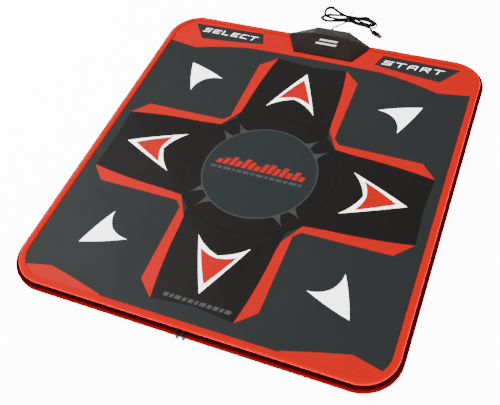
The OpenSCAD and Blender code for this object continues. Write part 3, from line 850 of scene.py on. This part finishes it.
def printed_top():
    layers = print_layers()
    zones = {z: top_outline("panel_" + z) for z in ZONES}
    border = rounded_outline(RIM_IN - 1.2 * MM, 16)
    points, edges = [], []

    def add(polygon):
        first = len(points)
        points.extend(Vector(p) for p in polygon)
        edges.extend((first + i, first + (i + 1) % len(polygon)) for i in range(len(polygon)))

    add(border)
    for polygon in zones.values():
        add(polygon)
    for _, polygon in layers:
        add(polygon)
    grid = 9 * MM
    gx, gy = np.meshgrid(np.arange(-MAT_X + grid, MAT_X, grid), np.arange(MAT_MIN_Y + grid, MAT_MAX_Y, grid))
    gx = (gx + (np.arange(gx.shape[0])[:, None] % 2) * grid / 2).ravel()
    gy = gy.ravel()
    keep = inside(border, gx, gy) & (distance_to(border, gx, gy) > 3 * MM)
    points.extend(Vector((a, b)) for a, b in zip(gx[keep], gy[keep]))
    verts, _, tris, _, _, _ = delaunay_2d_cdt(points, edges, [], 0, 1e-6)
    xy = np.array([(v.x, v.y) for v in verts])
    tri = np.array([t for t in tris if len(t) == 3])
    centre = xy[tri].mean(1)
    cx, cy = centre[:, 0], centre[:, 1]
    a, b, c = xy[tri[:, 0]], xy[tri[:, 1]], xy[tri[:, 2]]
    area = np.abs((b[:, 0] - a[:, 0]) * (c[:, 1] - a[:, 1]) - (c[:, 0] - a[:, 0]) * (b[:, 1] - a[:, 1]))
    good = inside(border, cx, cy) & (area > 1e-11)
    names = ["charcoal", "black", "disc", "ring", "shadow_ring", "red", "white", "faint"]
    ink = np.zeros(len(tri), int)
    for kind, polygon in layers:
        hit = inside(polygon, cx, cy)
        if kind == "shadow_ring":
            hit &= ink == names.index("black")
        ink[hit] = names.index(kind)
    where = np.full(len(tri), -1)
    for i, z in enumerate(ZONES):
        where[inside(zones[z], cx, cy)] = i
    height = COVER_Z + undulation(xy[:, 0], xy[:, 1])
    for i, z in enumerate(ZONES):
        of_zone = np.unique(tri[good & (where == i)])
        x, y = xy[of_zone, 0], xy[of_zone, 1]
        crown, reach = (ARROW_CROWN, ARROW_REACH) if z in ARROW_ZONES else (PLATE_CROWN, PLATE_REACH)
        from_edge = distance_to(zones[z], x, y)
        rise = crown * soft_step(from_edge / reach)
        swell = undulation(x, y) * soft_step(from_edge / SWELL_REACH)
        height[of_zone] = np.maximum(COVER_Z, COVER_Z + rise + swell)
    a, b, c = (np.column_stack([xy, height])[tri[:, k]] for k in range(3))
    lean = np.cross(b - a, c - a)
    lean *= np.sign(lean[:, 2:3]) * good[:, None]
    slopes = np.zeros((len(xy), 3))
    for k in range(3):
        np.add.at(slopes, tri[:, k], lean)
    slopes /= np.maximum(np.linalg.norm(slopes, axis=1, keepdims=True), 1e-15)
    made = []
    for i in range(-1, len(ZONES)):
        pick = tri[good & (where == i)]
        used, index = np.unique(pick, return_inverse=True)
        index = index.reshape(-1, 3)
        coords = np.column_stack([xy[used], height[used]])
        name = "cover_skin" if i < 0 else "zone_skin_" + ZONES[i]
        skin = thick_skin(name, coords, index, slopes[used], ink[good & (where == i)],
                          [finish[n] for n in names])
        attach(skin, "mat")
        if i < 0:
            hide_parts("top_cover")
        else:
            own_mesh(skin)
            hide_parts("panel_" + ZONES[i])
        made.append(skin)
    return made


def thick_skin(name, coords, triangles, slopes, inks, inked):
    """A skin of thickness SKIN_T: the printed face above, a plain face below and walls round its edges."""
    a, b, c = (coords[triangles[:, k]] for k in range(3))
    down = np.cross(b - a, c - a)[:, 2] < 0
    triangles = triangles.copy()
    triangles[down] = triangles[down][:, ::-1]
    count = len(coords)
    below = coords - [0, 0, SKIN_T]
    sides = {}
    for t in triangles:
        for p, q in ((t[0], t[1]), (t[1], t[2]), (t[2], t[0])):
            if (q, p) in sides:
                del sides[(q, p)]
            else:
                sides[(p, q)] = True
    walls = [(q, p, p + count, q + count) for p, q in sides]
    faces = [tuple(t) for t in triangles] + [tuple(t[::-1] + count) for t in triangles] + walls
    kinds = list(inks) + [0] * (len(triangles) + len(walls))
    skin = piece(name, np.vstack([coords, below]), faces, inked[0], True, kinds, inked[1:])
    mesh = skin.data
    out = []
    for face in mesh.polygons:
        for v in face.vertices:
            if face.index < len(triangles):
                out.append(tuple(slopes[v]))
            elif face.index < 2 * len(triangles):
                out.append(tuple(-slopes[v - count]))
            else:
                out.append(tuple(face.normal))
    mesh.normals_split_custom_set(out)
    return skin


printed_top()


# ---- binding, side band and underside -----------------------------------------

# (outward, height) in millimetres, outward from the mat's outline
RIM_PROFILE = [
    (-24.0, 22.6), (-23.7, 23.4), (-23.0, 24.2), (-21.8, 24.7), (-20.0, 24.95), (-17.5, 25.05),
    (-15.0, 25.0), (-13.0, 24.8), (-11.0, 24.3), (-9.3, 23.5), (-8.1, 22.4), (-7.6, 21.2),
    (-7.9, 20.2), (-8.9, 19.9), (-11.0, 20.6), (-17.0, 21.6), (-23.0, 22.3)]
LOWER_PROFILE = [
    (-1.0, 0.5), (0.0, 1.2), (0.4, 3.0), (0.5, 6.0), (0.5, 10.5), (0.5, 13.0), (-0.1, 15.1),
    (-1.3, 16.5), (-2.8, 16.7), (-3.9, 15.9), (-2.6, 14.7), (-1.4, 12.4), (-1.0, 9.0),
    (-1.1, 5.0), (-2.4, 1.6)]
UPPER_PROFILE = [
    (-3.0, 15.6), (-4.8, 15.9), (-6.8, 16.8), (-8.4, 18.4), (-9.4, 20.5),
    (-10.6, 20.5), (-9.6, 17.6), (-7.6, 15.6), (-4.8, 14.6), (-3.0, 14.8)]
RIPPLE_FULL_FROM = 21         # the height from which the whole ripple shows


def around_mat(name, profile, material, closed=True, skip=None, step=14 * MM, ripple=0.0):
    """Sweeps a profile of (outward, height) pairs in millimetres round the mat's outline.
    skip leaves out the straight front between those two x values."""
    base = rounded_outline(0.0, 20, step)
    count = len(base)
    normals = []
    for x, y in base:
        w, l = MAT_X - CORNER, MAT_L / 2 - CORNER
        dx = x - max(-w, min(w, x))
        dy = (y - MAT_Y) - max(-l, min(l, y - MAT_Y))
        size = math.hypot(dx, dy)
        normals.append((dx / size, dy / size))
    points = []
    for i, ((x, y), (nx, ny)) in enumerate(zip(base, normals)):
        for off, z in profile:
            r = ripple * (math.sin(i * 1.7) + math.sin(i * 0.61 + 1) * 0.7)
            share = 1 if z > RIPPLE_FULL_FROM else 0.2
            points.append((x + nx * off * MM, y + ny * off * MM, (z + r * share) * MM))
    rows = len(profile)
    faces = []
    for i in range(count):
        j = (i + 1) % count
        if skip:
            mid_x = (base[i][0] + base[j][0]) / 2
            mid_y = (base[i][1] + base[j][1]) / 2
            if skip[0] < mid_x < skip[1] and mid_y < MAT_MIN_Y + 0.01:
                continue
        for k in range(rows if closed else rows - 1):
            m = (k + 1) % rows
            faces.append((i * rows + k, i * rows + m, j * rows + m, j * rows + k))
    made = piece(name, points, faces, material)
    bm = bmesh.new()
    bm.from_mesh(made.data)
    bmesh.ops.delete(bm, geom=[v for v in bm.verts if not v.link_faces], context="VERTS")
    if skip:
        bmesh.ops.holes_fill(bm, edges=[e for e in bm.edges if e.is_boundary], sides=0)
    bmesh.ops.recalc_face_normals(bm, faces=bm.faces)
    bm.to_mesh(made.data)
    bm.free()
    return made


def soft_goods():
    rim = around_mat("rim_roll", RIM_PROFILE, finish["rim"], ripple=0.06)
    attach(rim, "mat")
    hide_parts("rim_binding")
    zip_low, zip_high = corners("zip_tape_lower")
    # the lower band carries the side wall's red darkened as painted shade
    lower = around_mat("band_lower", LOWER_PROFILE, finish["band"], ripple=0.05)
    # the upper band's near-black red is painted shade under the binding
    upper = around_mat("band_upper", UPPER_PROFILE, finish["recess_shade"],
                       skip=(zip_low.x, zip_high.x), step=6.9 * MM)
    for band in (lower, upper):
        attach(band, "mat")
        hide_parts("side_band")


soft_goods()


def carry(node, key, bevel=0.0, angle=30):
    """Keeps a CAD piece as it is, with softened edges and its finish."""
    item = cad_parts[node]
    item.data.materials.clear()
    item.data.materials.append(finish[key])
    modify(item, "WELD", merge_threshold=1e-6)
    if bevel:
        modify(item, "BEVEL", width=bevel * MM, segments=2, limit_method="ANGLE",
               angle_limit=math.radians(angle))
    return item


for node, key, bevel in (
        ("base_sheet", "underside", 0.4), ("lower_film", "film", 0), ("upper_film", "film", 0),
        ("film_tail", "film", 0), ("spacer_sponge", "sponge", 0.3),
        ("zip_tape_lower", "tape", 0.1), ("zip_tape_upper", "tape", 0.1),
        ("zip_teeth_lower", "teeth", 0.2), ("zip_teeth_upper", "teeth", 0.2),
        ("zip_end_stops", "slider", 0.3),
        ("zip_slider_left", "slider", 0.3), ("zip_slider_right", "slider", 0.3),
        ("zip_bead_left", "bead", 0.2), ("zip_bead_right", "bead", 0.2),
        ("box_base", "box", 0.4), ("box_shell", "box", 0.6), ("clamp_plate", "box", 0.4),
        ("box_screws", "screw", 0.2), ("circuit_board", "board", 0.1), ("controller_chip", "chip", 0.2),
        ("tail_connector", "connector", 0.2), ("lead_connector", "connector", 0.2),
        ("inner_lead", "cord", 0), ("strain_relief", "cord", 0.2)):
    carry(node, key, bevel)
for z in ZONES:
    carry("contact_" + z, "ink")
for corner in ("front_left", "front_right", "back_left", "back_right"):
    carry("foam_" + corner, "foam", 1.0)


def zip_pulls():
    """Moulded pull tabs: a narrow root between the slider's ears, then a flat strip down to the bead."""
    for side in ("left", "right"):
        low, high = corners("zip_pull_" + side)
        bead_low, bead_high = corners("zip_bead_" + side)
        x = (low.x + high.x) / 2
        drop = (bead_low.y + bead_high.y) / 2
        line = [(high.y - 0.5 * MM, high.z - 0.7 * MM, 1.1), (high.y - 2.6 * MM, high.z - 0.5 * MM, 1.2),
                (high.y - 4.2 * MM, high.z - 0.5 * MM, 3.2), (drop + 2.6 * MM, high.z - 0.7 * MM, 3.7),
                (drop + 0.9 * MM, high.z - 1.5 * MM, 3.8), (drop + 0.1 * MM, high.z - 3.4 * MM, 3.8),
                (drop, high.z - 6.4 * MM, 3.7), (drop, bead_high.z + 0.4 * MM, 3.2),
                (drop, bead_high.z - 0.9 * MM, 1.6)]
        points, faces = [], []
        around = 12
        for i, (y, z, half) in enumerate(line):
            before, after = line[max(i - 1, 0)], line[min(i + 1, len(line) - 1)]
            along = Vector((0, after[0] - before[0], after[1] - before[1])).normalized()
            out = Vector((0, -along.z, along.y))
            for k in range(around):
                a = 2 * math.pi * k / around
                wide = half * MM * math.copysign(abs(math.cos(a)) ** 0.5, math.cos(a))
                points.append(Vector((x + wide, y, z)) + out * 0.75 * MM * math.sin(a))
        for r in range(len(line) - 1):
            for k in range(around):
                m = (k + 1) % around
                faces.append((r * around + k, r * around + m, (r + 1) * around + m, (r + 1) * around + k))
        faces.append(tuple(range(around - 1, -1, -1)))
        faces.append(tuple((len(line) - 1) * around + k for k in range(around)))
        tab = piece("pull_tab_" + side, points, faces, finish["pull"])
        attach(tab, "pull_" + side)
        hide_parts("zip_pull_" + side)


zip_pulls()


def box_marks():
    """Two plain bars printed on the control box's sloping face."""
    low, high = corners("box_shell")
    mid = (low.x + high.x) / 2
    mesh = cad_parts["box_shell"].data
    best = max((f for f in mesh.polygons if f.normal.y < -0.1 and f.normal.z > 0.5), key=lambda f: f.area)
    n, origin = best.normal.copy(), best.center.copy()
    across = Vector((1, 0, 0))
    upward = n.cross(across).normalized()
    start = origin + across * (mid - origin.x)
    rows = []
    for f in mesh.polygons:
        if (f.normal - n).length < 0.01 and abs((f.center - origin).dot(n)) < 1e-4:
            rows += [(mesh.vertices[i].co - start).dot(upward) for i in f.vertices]
    base, top = min(rows), max(rows)
    centre = start + upward * (base + (top - base) * 0.5)
    proud = 0.15 * MM
    for i, (x0, x1, y0, y1) in enumerate(((-21, 27, 4.5, 10), (-29, 27, -7, -1.5))):
        shape = [(x0, y0), (x1, y0), (x1 + 3, y1), (x0 + 3, y1)]
        points = [centre + across * x * MM + upward * y * MM + n * proud for x, y in shape]
        points += [p - n * 2 * proud for p in points]
        bar = piece("box_bar_%d" % (i + 1), points,
                    [(0, 1, 2, 3), (7, 6, 5, 4), (1, 0, 4, 5), (2, 1, 5, 6), (3, 2, 6, 7), (0, 3, 7, 4)],
                    finish["box_mark"], False)
        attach(bar, "mat")


box_marks()


# ---- floor and light -----------------------------------------------------------

def floor():
    f = Finish("studio_floor")
    cloud = f.noise(1.2, 2.0)
    f.colour(f.mix(cloud, linear((250, 250, 250)), linear((253, 253, 253))))
    f.feed("Roughness", 0.8 + (cloud - 0.5) * 0.1)
    f.fixed(Specular_IOR_Level=0.1, Emission_Color=(1, 1, 1, 1), Emission_Strength=11.0)
    half = 6.0
    z = -0.4 * MM
    made = piece("floor", [(-half, -half, z), (half, -half, z), (half, half, z), (-half, half, z)],
                 [(0, 1, 2, 3)], f.material)


def lamp(name, at, aim, size, power):
    light = bpy.data.lights.new(name, "AREA")
    light.shape = "SQUARE"
    light.size = size
    light.energy = power
    made = bpy.data.objects.new(name, light)
    bpy.context.collection.objects.link(made)
    made.location = at
    made.rotation_euler = (Vector(aim) - Vector(at)).to_track_quat("-Z", "Y").to_euler()


def light_studio():
    world = bpy.data.worlds.new("studio")
    bpy.context.scene.world = world
    world.use_nodes = True
    world.node_tree.nodes["Background"].inputs["Color"].default_value = (1, 1, 1, 1)
    world.node_tree.nodes["Background"].inputs["Strength"].default_value = 0.35
    lamp("key", (-2.0, 0.3, 2.3), (0, 0, 0), 1.4, 120)
    lamp("back", (-0.6, 3.2, 2.6), (0, 0, 0), 1.8, 24)
    lamp("fill", (1.8, -1.2, 2.4), (0, 0, 0), 2.4, 84)


floor()
light_studio()
